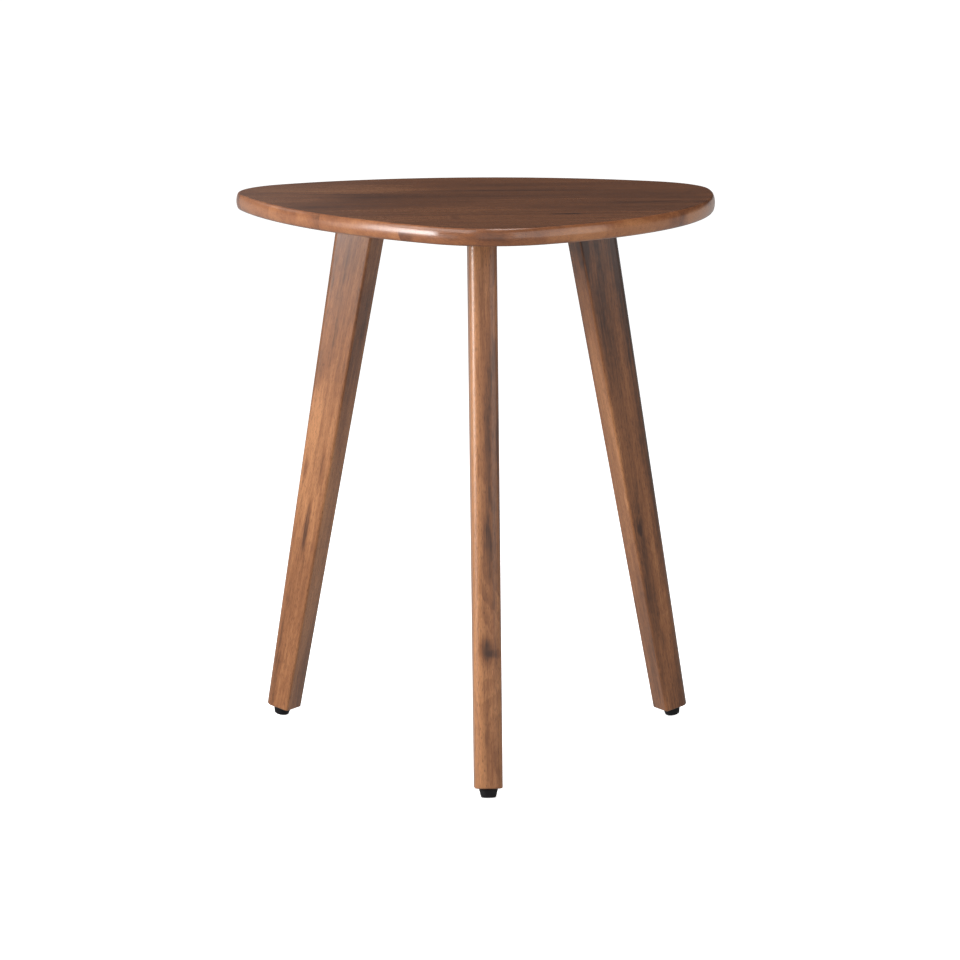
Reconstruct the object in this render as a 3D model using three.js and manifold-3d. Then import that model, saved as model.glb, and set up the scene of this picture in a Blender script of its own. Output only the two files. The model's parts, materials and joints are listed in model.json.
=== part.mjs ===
// A triangle side table: a rounded-triangle top of edge-glued boards on three splayed, tapered legs.
// A steel plate is screwed to the top end of each leg and bolted into threaded inserts in the top.
// Each leg stands on a levelling glide whose stud screws into an insert in the leg's lower end.
// Millimetres, +Z up, the floor at Z = 0, the front corner towards -Y.

import * as THREE from "three";
import { mergeVertices } from "three/addons/utils/BufferGeometryUtils.js";
import Module from "manifold-3d";

const wasm = await Module();
wasm.setup();

// Driving dimensions of the top
const tableHeight = 560;
const topThickness = 17;
const cornerRing = 171; // middle of the top to the middle of each corner's arc
const cornerRadius = 96.5;
const sideRadius = 378; // the bow of the right and the back side
const flatSideRadius = 573; // the flatter bow of the left side
const rimBow = 19; // radius of the rim's bowed side, seen in section
const upperArris = 2.5;
const lowerArris = 4;
const wholeBoards = 4;
const frontBoardShare = 0.5645; // of a whole board's width, left at the front corner
const backBoardShare = 0.7043; // the same, left at the back

// Driving dimensions of the legs
const legsLeftOfTop = 6; // the middle of the legs lies this far to the left of the top's middle
const legFootReach = 238.7; // middle of the legs to the middle of a leg's lower end
const legSplay = 11.1; // degrees off upright
const legThickness = 27.5;
const legTopWidth = 48;
const legFootWidth = 29.2;
const legOuterRound = 9;
const legInnerRound = 2.5;
const legEndRound = 1.5;

// Driving dimensions of the leg plates and what holds them
const plateThickness = 3;
const plateCornerRadius = 8;
const plateMargin = 9; // middle of a bolt to the plate's edge
const boltSpacingAlong = 44; // out from the table's middle
const boltToLeg = 4; // a bolt's head to the side of the leg
const boltRadius = 3;
const boltShortfall = 2; // a bolt ends this far below the upper end of its insert
const boltHeadRadius = 5.25;
const boltHeadHeight = 3.3;
const boltHeadFlatRadius = 3;
const boltSocketSize = 4; // across the flats
const boltSocketDepth = 2;
const topInsertRadius = 5;
const topInsertLength = 12;
const screwSpacingShare = 0.5; // of the width of the leg's upper end
const screwRadius = 2.2;
const screwLength = 30;
const screwTipLength = 5;
const screwHeadRadius = 4.2;
const screwHeadShare = 0.8; // of the plate's thickness
const screwCrossLength = 4.4;
const screwCrossWidth = 1;
const screwCrossDepth = 1.4;

// Driving dimensions of the levelling glides
const glideHeight = 8.8;
const glideTopRadius = 9.3;
const glideFootRadius = 7.7;
const glideFootRound = 1.8;
const glideTopRound = 0.6;
const glideFloor = 1.8; // plastic left under the head of the stud
const studRadius = 3;
const studLength = 18; // above the lower end of the leg
const studHeadRadius = 5;
const studHeadThickness = 2;
const studChamfer = 0.6;
const footInsertRadius = 5;
const footInsertLength = 14;

// Clearances
const runningClearance = 0.1; // round a shank, stud, screw or insert in its hole
const glueLine = 0.1; // between the boards of the top
const seatClearance = 0.3; // between faces that nearly meet
const headClearance = 0.15; // round the head of the stud inside the glide
const boltHoleClearance = 0.3;
const boreClearance = 1; // past the end of a stud or insert, in a blind hole
const cutOverrun = 5; // how far a cutting tool stands out of what it cuts

// Numbers of facets
const cornerFacets = 14;
const sideFacets = 16;
const arrisFacets = 3;
const cornerRoundFacets = 5;
const turnedFacets = 24;
const fastenerFacets = 16;
const boltHeadFacets = 3;
const easedEdgeFacets = 2;
const hexagon = 6;

const cornerBearings = [-90, 30, 150]; // front, right and left, in degrees from +X
const legs = [
  { side: "front", bearing: -90.8 },
  { side: "right", bearing: 25.9 },
  { side: "left", bearing: 144.7 },
];
const sixthOfTurn = Math.PI / 3;
const quarterTurn = Math.PI / 2;
const fullTurn = Math.PI * 2;

// Sizes that follow from the driving dimensions
const undersideHeight = tableHeight - topThickness;
const legTopHeight = undersideHeight - plateThickness;
const boltSpacingAcross = legThickness + (boltHeadRadius + boltToLeg) * 2;
const boltLength = plateThickness + topInsertLength - boltShortfall;
const screwSpacing = legTopWidth * screwSpacingShare;
const screwHeadHeight = plateThickness * screwHeadShare;

// Materials
const finish = (color, roughness, metalness = 0) =>
  new THREE.MeshStandardMaterial({ color, roughness, metalness });
const boardWoods = ["#6b3f27", "#744529", "#6f4229", "#784a2e", "#70442b", "#694028"].map((color) =>
  finish(color, 0.38),
);
const legWood = finish("#85532f", 0.42);
const plateSteel = finish("#26262a", 0.5, 0.7);
const zincSteel = finish("#b9bcc0", 0.32, 0.95);
const insertSteel = finish("#a99f86", 0.38, 0.9);
const blackPlastic = finish("#17181c", 0.55);

// Points in the plane, by distance and angle in radians
const polar = (distance, angle) =>
  new THREE.Vector2(distance * Math.cos(angle), distance * Math.sin(angle));
const angleOf = (from, to) => Math.atan2(to.y - from.y, to.x - from.x);

// An anticlockwise arc, without its last point, which the next stretch of the outline begins with.
function arc(centre, radius, from, to, facets) {
  const sweep = THREE.MathUtils.euclideanModulo(to - from, fullTurn);
  return Array.from({ length: facets }, (_, i) =>
    polar(radius, from + (sweep * i) / facets).add(centre),
  );
}

// Three corner arcs of one radius, joined by three bowed sides that meet them smoothly.
function topCorners() {
  return cornerBearings.map((bearing) => polar(cornerRing, THREE.MathUtils.degToRad(bearing)));
}

function topSides() {
  return [sideRadius, sideRadius, flatSideRadius].map((radius, i) => {
    const bearing = THREE.MathUtils.degToRad(cornerBearings[i]) + sixthOfTurn;
    const halfChord = cornerRing * Math.sin(sixthOfTurn);
    const chordDistance = cornerRing * Math.cos(sixthOfTurn);
    const centreBehindChord = Math.sqrt((radius - cornerRadius) ** 2 - halfChord ** 2);
    return { radius, centre: polar(chordDistance - centreBehindChord, bearing) };
  });
}

function topOutline(inset) {
  const corners = topCorners();
  const sides = topSides();
  return corners.flatMap((corner, i) => {
    const next = corners[(i + 1) % corners.length];
    const side = sides[i];
    const before = sides[(i + sides.length - 1) % sides.length];
    const start = angleOf(before.centre, corner);
    const end = angleOf(side.centre, corner);
    const sideEnd = angleOf(side.centre, next);
    return [
      ...arc(corner, cornerRadius - inset, start, end, cornerFacets),
      ...arc(side.centre, side.radius - inset, end, sideEnd, sideFacets),
    ];
  });
}

// A rectangle with rounded corners, anticlockwise: one radius at its +X end, one at its -X end.
function roundedRectangle(halfLength, halfWidth, aheadRadius, behindRadius) {
  const corners = [
    { sideX: 1, sideY: -1, radius: aheadRadius },
    { sideX: 1, sideY: 1, radius: aheadRadius },
    { sideX: -1, sideY: 1, radius: behindRadius },
    { sideX: -1, sideY: -1, radius: behindRadius },
  ];
  return corners.flatMap(({ sideX, sideY, radius }, i) => {
    const centre = new THREE.Vector2(sideX * (halfLength - radius), sideY * (halfWidth - radius));
    const from = quarterTurn * (i - 1);
    const to = from + quarterTurn;
    return [...arc(centre, radius, from, to, cornerRoundFacets), polar(radius, to).add(centre)];
  });
}

// Rings of a section whose edge is rounded off: how far in and how far from the end each lies.
function roundSteps(radius, facets) {
  return Array.from({ length: facets + 1 }, (_, i) => {
    const angle = (quarterTurn * i) / facets;
    return { inset: radius * (1 - Math.sin(angle)), fromEnd: radius * (1 - Math.cos(angle)) };
  });
}

// A closed solid through rings with equally many points, the lowest ring first, each ring
// anticlockwise from above, with flat convex ends.
function loft(rings) {
  const count = rings[0].length;
  const indices = [];
  for (let level = 0; level + 1 < rings.length; level++) {
    for (let i = 0; i < count; i++) {
      const low = level * count + i;
      const lowNext = level * count + ((i + 1) % count);
      indices.push(low, lowNext, lowNext + count, low, lowNext + count, low + count);
    }
  }
  const last = (rings.length - 1) * count;
  for (let i = 1; i + 1 < count; i++) {
    indices.push(0, i + 1, i);
    indices.push(last, last + i, last + i + 1);
  }
  const geometry = new THREE.BufferGeometry().setFromPoints(rings.flat());
  geometry.setIndex(indices);
  geometry.computeVertexNormals();
  return geometry;
}

// A solid turned about Z from its profile of [radius, height] points, lowest first.
function turned(profile, facets) {
  const points = profile.map(([radius, height]) => new THREE.Vector2(radius, height));
  return new THREE.LatheGeometry(points, facets).rotateX(quarterTurn);
}

function cylinder(radius, from, to, facets) {
  const geometry = new THREE.CylinderGeometry(radius, radius, to - from, facets);
  return geometry.rotateX(quarterTurn).translate(0, 0, (from + to) / 2);
}

function block(width, depth, from, to) {
  return new THREE.BoxGeometry(width, depth, to - from).translate(0, 0, (from + to) / 2);
}

// Cutting and joining solids
function solidOf(geometry) {
  const bare = geometry.clone();
  bare.deleteAttribute("normal");
  bare.deleteAttribute("uv");
  const merged = mergeVertices(bare);
  return new wasm.Manifold(
    new wasm.Mesh({
      numProp: 3,
      vertProperties: merged.attributes.position.array,
      triVerts: new Uint32Array(merged.index.array),
    }),
  );
}

function geometryOf(solid) {
  const { vertProperties, triVerts } = solid.getMesh();
  const geometry = new THREE.BufferGeometry();
  geometry.setAttribute("position", new THREE.BufferAttribute(vertProperties, 3));
  geometry.setIndex(new THREE.BufferAttribute(triVerts, 1));
  geometry.computeVertexNormals();
  return geometry;
}

const cut = (geometry, tools) =>
  geometryOf(tools.reduce((left, tool) => left.subtract(solidOf(tool)), solidOf(geometry)));

function mesh(name, geometry, material) {
  const piece = new THREE.Mesh(geometry, material);
  piece.name = name;
  return piece;
}

const splay = THREE.MathUtils.degToRad(legSplay);

// Where the bolts and screws of a plate stand, from the middle of the plate
const across = (distance) => [-distance / 2, distance / 2];
const boltPlaces = across(boltSpacingAlong).flatMap((x) =>
  across(boltSpacingAcross).map((y) => ({ x, y })),
);
const screwPlaces = across(screwSpacing).map((x) => ({ x, y: 0 }));

// The glide's outline from the middle of its foot to its upper rim, in the leg's own frame,
// where the lower end of the leg is at height 0.
const glideTop = -seatClearance;
const glideFoot = glideTop - glideHeight;

function glideSide() {
  const foot = roundSteps(glideFootRound, arrisFacets).map(({ inset, fromEnd }) => [
    glideFootRadius - inset,
    glideFoot + fromEnd,
  ]);
  const rim = roundSteps(glideTopRound, easedEdgeFacets).map(({ inset, fromEnd }) => [
    glideTopRadius - inset,
    glideTop - fromEnd,
  ]);
  return [...foot, ...rim.reverse()];
}

// The lower end of the leg stands as high as its tilted glide reaches below it.
const legFootHeight = Math.max(
  ...glideSide().map(([radius, height]) => radius * Math.sin(splay) - height * Math.cos(splay)),
);
const legRise = legTopHeight - legFootHeight;
const legTopReach = legFootReach - legRise * Math.tan(splay);
const legLength = legRise / Math.cos(splay);

// Carries a geometry from the frame of the leg's axis to the frame that stands upright.
const legAxis = new THREE.Matrix4()
  .makeTranslation(legFootReach, 0, legFootHeight)
  .multiply(new THREE.Matrix4().makeRotationY(-splay));

// An arris of the rim, from the bowed side that it runs smoothly out of to the flat face: how far
// in from the outline, and how far from the middle of the thickness, each point lies.
function arrisSection(radius) {
  const halfThickness = topThickness / 2;
  const start = Math.asin((halfThickness - radius) / (rimBow - radius));
  const middleInset = rimBow - (rimBow - radius) * Math.cos(start);
  return Array.from({ length: arrisFacets + 1 }, (_, i) => {
    const angle = start + ((quarterTurn - start) * i) / arrisFacets;
    return {
      inset: middleInset - radius * Math.cos(angle),
      fromMiddle: halfThickness - radius * (1 - Math.sin(angle)),
    };
  });
}

// The top: one rounded slab, with the holes for the inserts, sawn into its glued boards.
function topSlab() {
  const middle = tableHeight - topThickness / 2;
  const ring = (inset, height) =>
    topOutline(inset).map(({ x, y }) => new THREE.Vector3(x, y, height));
  const lower = arrisSection(lowerArris).map((at) => ring(at.inset, middle - at.fromMiddle));
  const upper = arrisSection(upperArris).map((at) => ring(at.inset, middle + at.fromMiddle));
  return loft([...lower.reverse(), ring(0, middle), ...upper]);
}

function topInsertHoles() {
  const depth = topInsertLength + seatClearance * 2;
  return legs.flatMap(({ bearing }) =>
    boltPlaces.map(({ x, y }) =>
      cylinder(
        topInsertRadius + runningClearance,
        undersideHeight - cutOverrun,
        undersideHeight + depth,
        fastenerFacets,
      )
        .translate(legTopReach + x, y, 0)
        .rotateZ(THREE.MathUtils.degToRad(bearing))
        .translate(-legsLeftOfTop, 0, 0),
    ),
  );
}

function topBoards() {
  const slab = solidOf(cut(topSlab(), topInsertHoles()));
  const { min, max } = new THREE.Box2().setFromPoints(topOutline(0));
  const boardWidth = (max.y - min.y) / (frontBoardShare + wholeBoards + backBoardShare);
  const firstJoint = min.y + boardWidth * frontBoardShare;
  const joints = Array.from({ length: wholeBoards + 1 }, (_, i) => firstJoint + boardWidth * i);
  const edges = [min.y - cutOverrun, ...joints, max.y + cutOverrun];
  return edges.slice(1).map((back, i) => {
    const front = edges[i];
    const width = max.x - min.x + cutOverrun * 2;
    const sawn = block(width, back - front - glueLine, 0, tableHeight + cutOverrun);
    sawn.translate((min.x + max.x) / 2, (front + back) / 2, 0);
    const board = geometryOf(slab.intersect(solidOf(sawn)));
    return mesh(`top_board_${i + 1}`, board, boardWoods[i]);
  });
}

// A section of the leg, width by thickness, drawn in by an inset on all sides: +X is outwards.
const legSection = (width, inset) =>
  roundedRectangle(
    width / 2 - inset,
    legThickness / 2 - inset,
    legOuterRound - inset,
    legInnerRound - inset,
  );

const legWidthAt = (height) =>
  THREE.MathUtils.lerp(legFootWidth, legTopWidth, height / legLength);

// The leg's lower end is square to its axis with eased edges. Its upper end is level.
function legBlank() {
  const rings = roundSteps(legEndRound, easedEdgeFacets).map(({ inset, fromEnd }) =>
    legSection(legWidthAt(fromEnd), inset).map(({ x, y }) =>
      new THREE.Vector3(x, y, fromEnd).applyMatrix4(legAxis),
    ),
  );
  const lowest = rings[rings.length - 1];
  const levelled = legSection(legTopWidth, 0).map(({ x, y }, i) => {
    const foot = lowest[i];
    const end = new THREE.Vector3(x, y, legLength).applyMatrix4(legAxis);
    const reach = (legTopHeight - foot.z) / (end.z - foot.z);
    return foot.clone().lerp(end, reach).setZ(legTopHeight);
  });
  return loft([...rings, levelled]);
}

function legGeometry() {
  const insertHole = cylinder(
    footInsertRadius + runningClearance,
    -cutOverrun,
    footInsertLength + seatClearance * 2,
    fastenerFacets,
  );
  const studHole = cylinder(
    studRadius + boltHoleClearance,
    -cutOverrun,
    studLength + boreClearance,
    turnedFacets,
  );
  const screwHoles = screwPlaces.map(({ x, y }) =>
    cylinder(
      screwRadius + runningClearance,
      undersideHeight - screwLength - boreClearance,
      legTopHeight + cutOverrun,
      fastenerFacets,
    ).translate(legTopReach + x, y, 0),
  );
  return cut(legBlank(), [
    insertHole.applyMatrix4(legAxis),
    studHole.applyMatrix4(legAxis),
    ...screwHoles,
  ]);
}

function plateGeometry() {
  const halfLength = boltSpacingAlong / 2 + plateMargin;
  const halfWidth = boltSpacingAcross / 2 + plateMargin;
  const outline = roundedRectangle(halfLength, halfWidth, plateCornerRadius, plateCornerRadius);
  const shape = new THREE.Shape(outline);
  for (const { x, y } of boltPlaces) {
    const hole = new THREE.Path();
    hole.absarc(x, y, boltRadius + boltHoleClearance, 0, fullTurn, true);
    shape.holes.push(hole);
  }
  const flat = new THREE.ExtrudeGeometry(shape, {
    depth: plateThickness,
    bevelEnabled: false,
    curveSegments: fastenerFacets / 2, // a full circle takes two turns of these
  });
  const shank = screwRadius + runningClearance;
  const mouth = screwHeadRadius + runningClearance;
  const mouthHeight = plateThickness - seatClearance;
  const countersink = [
    [0, -cutOverrun],
    [shank, -cutOverrun],
    [shank, mouthHeight - screwHeadHeight],
    [mouth, mouthHeight],
    [mouth, plateThickness + cutOverrun],
    [0, plateThickness + cutOverrun],
  ];
  const tools = screwPlaces.map(({ x, y }) =>
    turned(countersink, fastenerFacets).translate(x, y, 0),
  );
  return cut(flat, tools).translate(legTopReach, 0, legTopHeight);
}

// A button-head bolt, its head below the plate and its shank up through it: height 0 is the
// plate's lower face.
function boltGeometry() {
  const dome = Array.from({ length: boltHeadFacets + 1 }, (_, i) => {
    const angle = (quarterTurn * i) / boltHeadFacets;
    const radius = THREE.MathUtils.lerp(boltHeadFlatRadius, boltHeadRadius, Math.sin(angle));
    return [radius, -boltHeadHeight * Math.cos(angle)];
  });
  const profile = [
    [0, -boltHeadHeight],
    ...dome,
    [boltRadius, 0],
    [boltRadius, boltLength - studChamfer],
    [boltRadius - studChamfer, boltLength],
    [0, boltLength],
  ];
  const socketRadius = boltSocketSize / 2 / Math.cos(Math.PI / hexagon);
  const socket = cylinder(
    socketRadius,
    -boltHeadHeight - cutOverrun,
    -boltHeadHeight + boltSocketDepth,
    hexagon,
  );
  return cut(turned(profile, fastenerFacets), [socket]);
}

// A plain threaded insert, its open end at height 0.
function insertGeometry(boreRadius, outerRadius, length) {
  return turned(
    [
      [boreRadius, 0],
      [outerRadius, 0],
      [outerRadius, length],
      [boreRadius, length],
      [boreRadius, 0],
    ],
    fastenerFacets,
  );
}

// A countersunk wood screw pointing down, with its head's upper face at height 0.
function screwGeometry() {
  const shankEnd = -(screwLength - screwTipLength);
  const profile = [
    [0, -screwLength],
    [screwRadius, shankEnd],
    [screwRadius, -screwHeadHeight],
    [screwHeadRadius, 0],
    [0, 0],
  ];
  const recess = [
    block(screwCrossLength, screwCrossWidth, -screwCrossDepth, cutOverrun),
    block(screwCrossWidth, screwCrossLength, -screwCrossDepth, cutOverrun),
  ];
  return cut(turned(profile, fastenerFacets), recess);
}

// The glide is moulded round the head of its stud, so it has a pocket with a hole above it.
const studHeadFoot = glideFoot + glideFloor;

function glideGeometry() {
  const hole = studRadius + headClearance;
  const pocket = studHeadRadius + headClearance;
  const pocketFoot = studHeadFoot - headClearance;
  const pocketTop = studHeadFoot + studHeadThickness + headClearance;
  return turned(
    [
      [0, glideFoot],
      ...glideSide(),
      [hole, glideTop],
      [hole, pocketTop],
      [pocket, pocketTop],
      [pocket, pocketFoot],
      [0, pocketFoot],
    ],
    turnedFacets,
  );
}

function studGeometry() {
  const headTop = studHeadFoot + studHeadThickness;
  return turned(
    [
      [0, studHeadFoot],
      [studHeadRadius, studHeadFoot],
      [studHeadRadius, headTop],
      [studRadius, headTop],
      [studRadius, studLength - studChamfer],
      [studRadius - studChamfer, studLength],
      [0, studLength],
    ],
    turnedFacets,
  );
}

// One leg with its plate, fasteners and levelling glide.
function legAssembly({ side, bearing }) {
  const assembly = new THREE.Group();
  assembly.rotation.z = THREE.MathUtils.degToRad(bearing);
  assembly.position.x = -legsLeftOfTop;
  assembly.add(mesh(`${side}_leg`, legGeometry(), legWood));
  assembly.add(mesh(`${side}_leg_plate`, plateGeometry(), plateSteel));

  boltPlaces.forEach(({ x, y }, i) => {
    const bolt = mesh(`${side}_plate_bolt_${i + 1}`, boltGeometry(), zincSteel);
    bolt.position.set(legTopReach + x, y, legTopHeight);
    const bore = boltRadius + runningClearance;
    const insert = mesh(
      `${side}_top_insert_${i + 1}`,
      insertGeometry(bore, topInsertRadius, topInsertLength),
      insertSteel,
    );
    insert.position.set(legTopReach + x, y, undersideHeight + seatClearance);
    assembly.add(bolt, insert);
  });

  screwPlaces.forEach(({ x, y }, i) => {
    const screw = mesh(`${side}_leg_screw_${i + 1}`, screwGeometry(), zincSteel);
    screw.position.set(legTopReach + x, y, undersideHeight - seatClearance);
    assembly.add(screw);
  });

  const foot = new THREE.Group();
  foot.position.set(legFootReach, 0, legFootHeight);
  foot.rotation.y = -splay;
  const bore = studRadius + runningClearance;
  const insert = mesh(
    `${side}_foot_insert`,
    insertGeometry(bore, footInsertRadius, footInsertLength),
    insertSteel,
  );
  insert.position.z = seatClearance;
  foot.add(insert);
  foot.add(mesh(`${side}_foot_stud`, studGeometry(), zincSteel));
  foot.add(mesh(`${side}_foot_glide`, glideGeometry(), blackPlastic));
  assembly.add(foot);
  return assembly;
}

// The table stands with the middle of its outline at the origin.
const table = new THREE.Group();
table.add(...topBoards(), ...legs.map(legAssembly));
const middle = new THREE.Box2().setFromPoints(topOutline(0)).getCenter(new THREE.Vector2());
table.position.set(-middle.x, -middle.y, 0);

export default table;
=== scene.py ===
"""Looks of the triangle side table: stained wood, black levelling feet and steel fittings.

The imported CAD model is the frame. Each visible piece is a finer mesh that stands for its CAD
node, and the hidden fasteners keep their CAD shapes. Metres, +Z up, the front corner towards -Y.
"""

import json
import math

import bmesh
import bpy
from mathutils import Matrix, Vector
from mathutils.geometry import tessellate_polygon


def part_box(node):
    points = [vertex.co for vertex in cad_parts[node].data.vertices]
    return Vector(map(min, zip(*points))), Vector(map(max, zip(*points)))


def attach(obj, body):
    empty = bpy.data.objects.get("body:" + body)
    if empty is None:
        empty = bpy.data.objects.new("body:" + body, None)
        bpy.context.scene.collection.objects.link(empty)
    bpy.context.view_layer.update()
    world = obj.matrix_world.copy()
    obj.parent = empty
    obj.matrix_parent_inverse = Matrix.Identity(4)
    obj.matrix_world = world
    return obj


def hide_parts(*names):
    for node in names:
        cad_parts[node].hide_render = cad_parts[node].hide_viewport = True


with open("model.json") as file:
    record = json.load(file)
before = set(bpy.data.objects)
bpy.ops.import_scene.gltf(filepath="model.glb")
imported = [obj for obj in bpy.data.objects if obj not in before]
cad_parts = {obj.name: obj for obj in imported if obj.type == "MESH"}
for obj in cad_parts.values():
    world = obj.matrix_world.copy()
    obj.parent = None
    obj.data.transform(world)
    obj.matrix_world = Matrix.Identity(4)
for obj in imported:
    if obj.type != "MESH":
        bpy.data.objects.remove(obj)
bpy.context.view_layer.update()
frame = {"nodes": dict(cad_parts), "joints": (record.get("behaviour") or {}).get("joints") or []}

# Top
TABLE_HEIGHT = 0.560
TOP_THICKNESS = 0.017
CORNER_RING = 0.171
CORNER_RADIUS = 0.0965
SIDE_RADIUS = 0.378
FLAT_SIDE_RADIUS = 0.573
RIM_BOW = 0.019
UPPER_ARRIS = 0.0025
LOWER_ARRIS = 0.004
WHOLE_BOARDS = 4
FRONT_BOARD_SHARE = 0.5645
BACK_BOARD_SHARE = 0.7043
CORNER_BEARINGS = [-90, 30, 150]
FLAT_RING_SHARE = 0.25  # of an arris's radius
TRIM = 0.0001  # keeps the smooth curves inside the facets of the CAD model
GLUE_LINE = 0.0001

# Legs
SIDES = ["front", "right", "left"]
LEG_THICKNESS = 0.0275
LEG_TOP_WIDTH = 0.048
LEG_FOOT_WIDTH = 0.0292
LEG_OUTER_ROUND = 0.009
LEG_INNER_ROUND = 0.0025
LEG_END_ROUND = 0.0015

# Plates and fasteners
PLATE_THICKNESS = 0.003
PLATE_CORNER = 0.008
PLATE_MARGIN = 0.009
PLATE_EDGE_ROUND = 0.0004
BOLT_ALONG = 0.044
BOLT_TO_LEG = 0.004
BOLT_RADIUS = 0.003
BOLT_SHORTFALL = 0.002
BOLT_HEAD_RADIUS = 0.00525
BOLT_HEAD_HEIGHT = 0.0033
BOLT_HEAD_FLAT_RADIUS = 0.003
BOLT_SOCKET_SIZE = 0.004
BOLT_SOCKET_DEPTH = 0.002
TOP_INSERT_RADIUS = 0.005
TOP_INSERT_LENGTH = 0.012
SCREW_SPACING_SHARE = 0.5
SCREW_RADIUS = 0.0022
SCREW_LENGTH = 0.030
SCREW_HEAD_RADIUS = 0.0042
SCREW_HEAD_SHARE = 0.8

# Levelling feet
GLIDE_HEIGHT = 0.0088
GLIDE_TOP_RADIUS = 0.0093
GLIDE_FOOT_RADIUS = 0.0077
GLIDE_FOOT_ROUND = 0.0018
GLIDE_TOP_ROUND = 0.0006
GLIDE_FLOOR = 0.0018
STUD_RADIUS = 0.003
STUD_LENGTH = 0.018
STUD_HEAD_RADIUS = 0.005
STUD_HEAD_THICKNESS = 0.002
STUD_CHAMFER = 0.0006
THREAD_PITCH = 0.001
THREAD_DEPTH = 0.0005
THREAD_FLANK = 2.4  # above 2, so that the crests are flat
FOOT_INSERT_RADIUS = 0.005
FOOT_INSERT_LENGTH = 0.014

# Clearances
RUNNING = 0.0001
SEAT = 0.0003
HEAD = 0.00015
BOLT_HOLE = 0.0003
BORE = 0.001
OVERRUN = 0.005

# Numbers of facets
CORNER_FACETS = 48
SIDE_FACETS = 56
ARRIS_FACETS = 8
BOW_FACETS = 4
ROUND_FACETS = 12
TURNED_FACETS = 48
HOLE_FACETS = 32
THREAD_STEPS = 10
SMOOTH_DEGREES = 35  # facets that meet flatter than this shade as one surface

UNDERSIDE = TABLE_HEIGHT - TOP_THICKNESS
LEG_TOP = UNDERSIDE - PLATE_THICKNESS
BOLT_ACROSS = LEG_THICKNESS + (BOLT_HEAD_RADIUS + BOLT_TO_LEG) * 2
BOLT_LENGTH = PLATE_THICKNESS + TOP_INSERT_LENGTH - BOLT_SHORTFALL
SCREW_SPACING = LEG_TOP_WIDTH * SCREW_SPACING_SHARE
SCREW_HEAD_HEIGHT = PLATE_THICKNESS * SCREW_HEAD_SHARE
GLIDE_TOP = -SEAT
GLIDE_FOOT = GLIDE_TOP - GLIDE_HEIGHT
STUD_FOOT = GLIDE_FOOT + GLIDE_FLOOR
QUARTER = math.pi / 2
FULL = math.tau
UP = Vector((0, 0, 1))


# Outlines in the plane


def polar(distance, angle):
    return Vector((distance * math.cos(angle), distance * math.sin(angle)))


def arc(centre, radius, start, end, facets):
    """An anticlockwise arc without its last point, which the next stretch begins with."""
    sweep = (end - start) % FULL
    return [centre + polar(radius, start + sweep * i / facets) for i in range(facets)]


def bearing(start, end):
    return math.atan2(end.y - start.y, end.x - start.x)


def top_outline(inset):
    """Three corner arcs joined by three bowed sides, drawn in by an inset."""
    corners = [polar(CORNER_RING, math.radians(angle)) for angle in CORNER_BEARINGS]
    sixth = math.pi / 3
    sides = []
    for angle, radius in zip(CORNER_BEARINGS, [SIDE_RADIUS, SIDE_RADIUS, FLAT_SIDE_RADIUS]):
        half_chord = CORNER_RING * math.sin(sixth)
        behind = math.sqrt((radius - CORNER_RADIUS) ** 2 - half_chord**2)
        distance = CORNER_RING * math.cos(sixth) - behind
        sides.append((polar(distance, math.radians(angle) + sixth), radius))
    outline = []
    for i, corner in enumerate(corners):
        before, _ = sides[i - 1]
        centre, radius = sides[i]
        following = corners[(i + 1) % len(corners)]
        start, end = bearing(before, corner), bearing(centre, corner)
        outline += arc(corner, CORNER_RADIUS - inset, start, end, CORNER_FACETS)
        outline += arc(centre, radius - inset, end, bearing(centre, following), SIDE_FACETS)
    return outline


def rounded_rectangle(half_length, half_width, ahead, behind):
    """Anticlockwise, with one radius at the +X end and another at the -X end."""
    places = [(1, -1, ahead), (1, 1, ahead), (-1, 1, behind), (-1, -1, behind)]
    outline = []
    for i, (side_x, side_y, radius) in enumerate(places):
        centre = Vector((side_x * (half_length - radius), side_y * (half_width - radius)))
        start = QUARTER * (i - 1)
        outline += arc(centre, radius, start, start + QUARTER, ROUND_FACETS)
        outline.append(centre + polar(radius, start + QUARTER))
    return outline


def circle(radius, facets=HOLE_FACETS, centre=(0, 0)):
    return [Vector(centre) + polar(radius, FULL * i / facets) for i in range(facets)]


def round_steps(radius, facets):
    """How far in, and how far from the end, each ring of a rounded edge lies."""
    angles = [QUARTER * i / facets for i in range(facets + 1)]
    return [(radius * (1 - math.sin(a)), radius * (1 - math.cos(a))) for a in angles]


# Meshes


class Shell:
    """A closed mesh that grows ring by ring."""

    def __init__(self):
        self.points = []
        self.faces = []

    def ring(self, points):
        start = len(self.points)
        self.points += [Vector(point) for point in points]
        return list(range(start, len(self.points)))

    def level(self, outline, height):
        return self.ring([(point.x, point.y, height) for point in outline])

    def bridge(self, rings):
        for low, high in zip(rings, rings[1:]):
            for i, corner in enumerate(low):
                after = (i + 1) % len(low)
                self.faces.append((corner, low[after], high[after], high[i]))

    def cap(self, outline, holes=()):
        if not holes:
            self.faces.append(tuple(outline))
            return
        loops = [outline, *holes]
        flat = [index for loop in loops for index in loop]
        places = [[self.points[index] for index in loop] for loop in loops]
        for triangle in tessellate_polygon(places):
            self.faces.append(tuple(flat[i] for i in triangle))

    def build(self, name, matrix=Matrix.Identity(4)):
        mesh = bpy.data.meshes.new(name)
        mesh.from_pydata([matrix @ point for point in self.points], [], self.faces)
        grown = bmesh.new()
        grown.from_mesh(mesh)
        bmesh.ops.recalc_face_normals(grown, faces=grown.faces)
        grown.to_mesh(mesh)
        grown.free()
        return show(name, mesh)


def show(name, mesh):
    piece = bpy.data.objects.new(name, mesh)
    bpy.context.collection.objects.link(piece)
    return piece


def smooth(piece):
    piece.data.shade_smooth()
    piece.data.set_sharp_from_angle(angle=math.radians(SMOOTH_DEGREES))


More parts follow.
